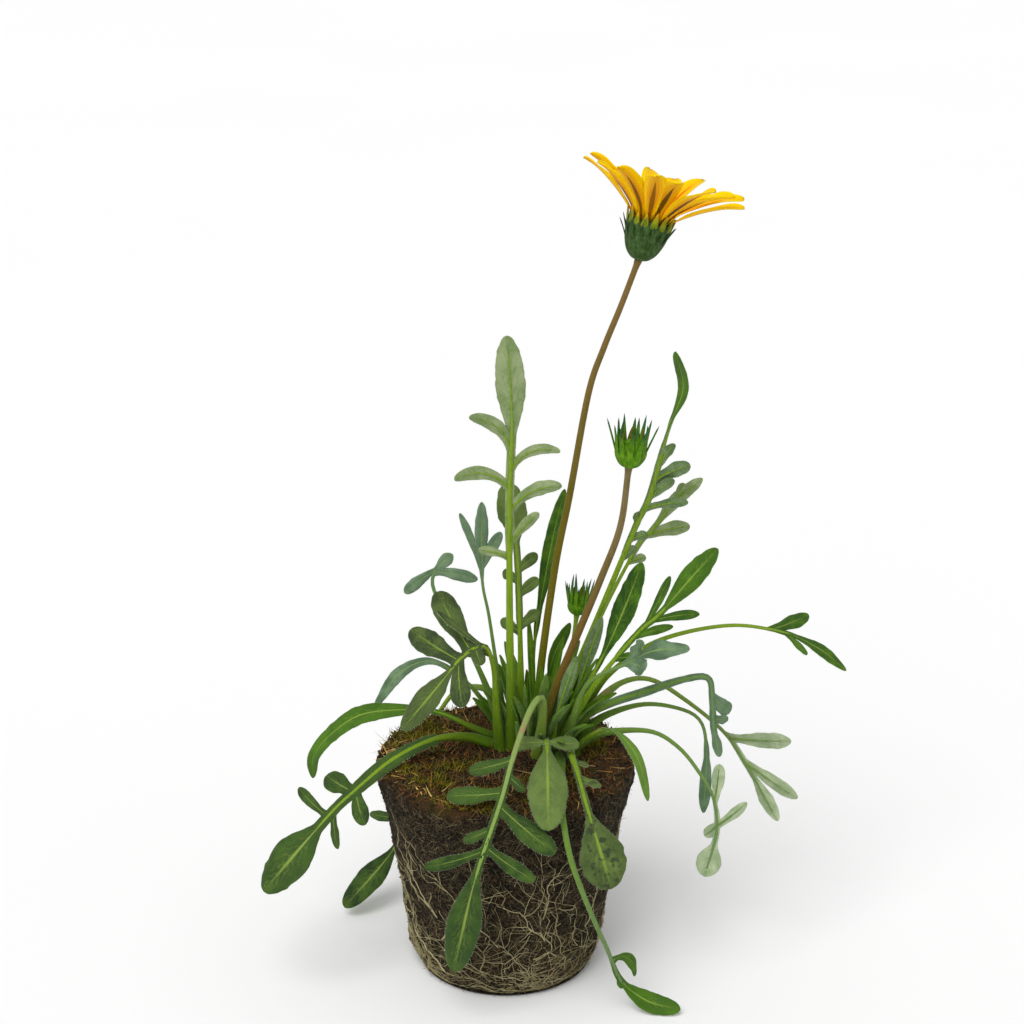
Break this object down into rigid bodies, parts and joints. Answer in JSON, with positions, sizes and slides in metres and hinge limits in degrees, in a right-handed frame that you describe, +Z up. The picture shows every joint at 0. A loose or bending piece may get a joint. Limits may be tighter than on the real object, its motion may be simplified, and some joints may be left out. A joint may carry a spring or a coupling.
{
  "type": "gazania plant",
  "caption": "Bedding gazania out of its pot on its own root ball, with an open golden flower, buds and lobed grey-green leaves arching and trailing all round.",
  "frame": {"origin": "middle of the root ball's flat underside", "axes": "+Z up along the plant's height; the plant is seen in the picture from -Y, with +X to the picture's right"},
  "size_m": [0.2586, 0.1425, 0.3619],
  "materials": {
    "peat": "damp dark peat, matt, with pale roots",
    "crown": "fleshy stock, satin, straw green",
    "leaf_green": "dull satin leaf, dark green above, felted beneath",
    "leaf_olive": "dull satin leaf, grey olive green",
    "leaf_felt": "matt pale grey-green felt",
    "stalk": "satin olive-brown stalk, finely hairy",
    "cup": "dull blue-green bracts",
    "rays": "satin golden-yellow petals",
    "disc": "matt orange-brown florets",
    "bud": "satin fresh green"
  },
  "bodies": {
    "root": {"root_ball": "peat", "crown": "crown", "leaf_tall": "leaf_felt", "leaf_rear_upright": "leaf_olive", "leaf_slender": "leaf_green", "leaf_lance_rear": "leaf_green", "leaf_left_arch": "leaf_olive", "leaf_left_pale": "leaf_felt", "leaf_right_tall": "leaf_felt", "leaf_right_felt": "leaf_felt", "leaf_right_dark": "leaf_green", "leaf_right_fan": "leaf_green", "leaf_right_folded": "leaf_felt", "leaf_far_right": "leaf_green", "leaf_hanging_kinked": "leaf_felt", "leaf_hanging_wide": "leaf_felt", "leaf_hanging_strap": "leaf_felt", "leaf_hanging_low": "leaf_felt", "leaf_right_strap": "leaf_green", "leaf_front_left": "leaf_green", "leaf_front_round": "leaf_olive", "leaf_front_mottled": "leaf_olive", "leaf_front_long": "leaf_green", "leaf_left_strap": "leaf_green", "leaf_left_over": "leaf_green", "leaf_left_rear": "leaf_felt", "leaf_rear_hanging": "leaf_green", "leaf_young_pale": "leaf_felt", "leaf_young_small": "leaf_felt", "leaf_young_dark": "leaf_green", "flower_stalk": "stalk", "bud_stalk": "stalk", "small_bud_stalk": "stalk", "flower_cup": "cup", "flower_rays": "rays", "flower_disc": "disc", "bud": "bud", "small_bud": "bud"}
  },
  "joints": []
}
